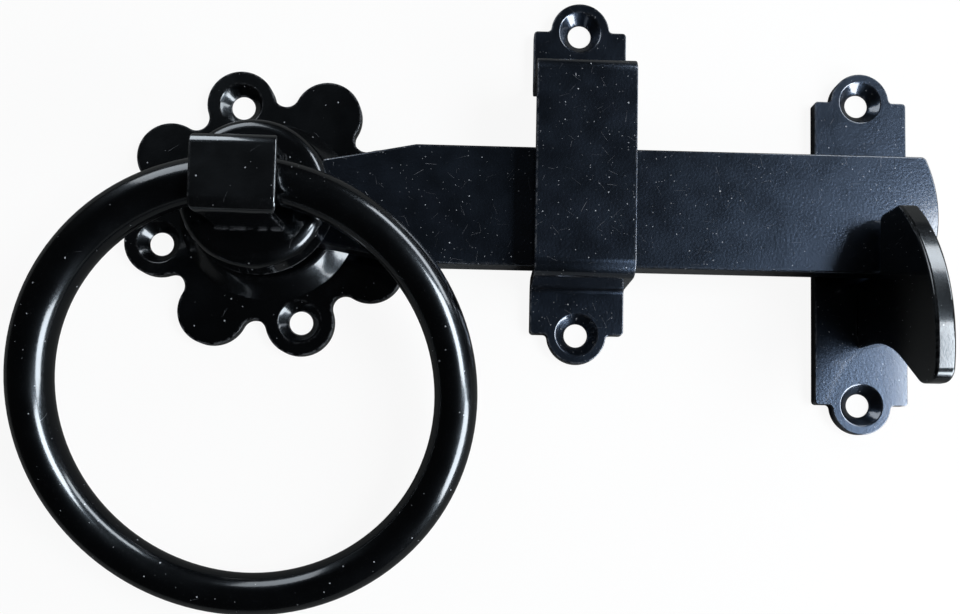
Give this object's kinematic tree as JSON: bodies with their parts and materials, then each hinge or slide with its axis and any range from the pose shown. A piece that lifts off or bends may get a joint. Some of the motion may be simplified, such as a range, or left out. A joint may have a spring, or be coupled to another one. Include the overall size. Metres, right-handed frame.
{
  "type": "ring gate latch",
  "caption": "Black ring gate latch: a ring on a lobed rose turns a hub that lifts a flat bar through a folded staple and over a hooked keep.",
  "frame": {"origin": "where the hub's axis meets the gate's face, the plane of the mounting backs", "axes": "+X along the latch bar towards the keep, +Y up the gate, +Z out of the gate's face"},
  "size_m": [0.1851, 0.1318, 0.0326],
  "materials": {
    "black_paint": "satin gloss black epoxy coating on mild steel"
  },
  "bodies": {
    "fixings": {"rose_plate": "black_paint", "staple": "black_paint", "keep_plate": "black_paint", "keep_hook": "black_paint"},
    "latch": {"hub": "black_paint", "ring_strap": "black_paint", "latch_bar": "black_paint", "hub_washer": "black_paint"},
    "ring": {"ring": "black_paint"}
  },
  "joints": [
    {"name": "latch_turn", "type": "hinge", "parent": "fixings", "child": "latch", "pos_m": [0, 0, 0], "axis": [0, 0, 1], "range_deg": [0, 10]},
    {"name": "ring_swing", "type": "hinge", "parent": "latch", "child": "ring", "pos_m": [0, 0.0001, 0.0219], "axis": [-1, 0, 0], "range_deg": [0, 204]}
  ]
}
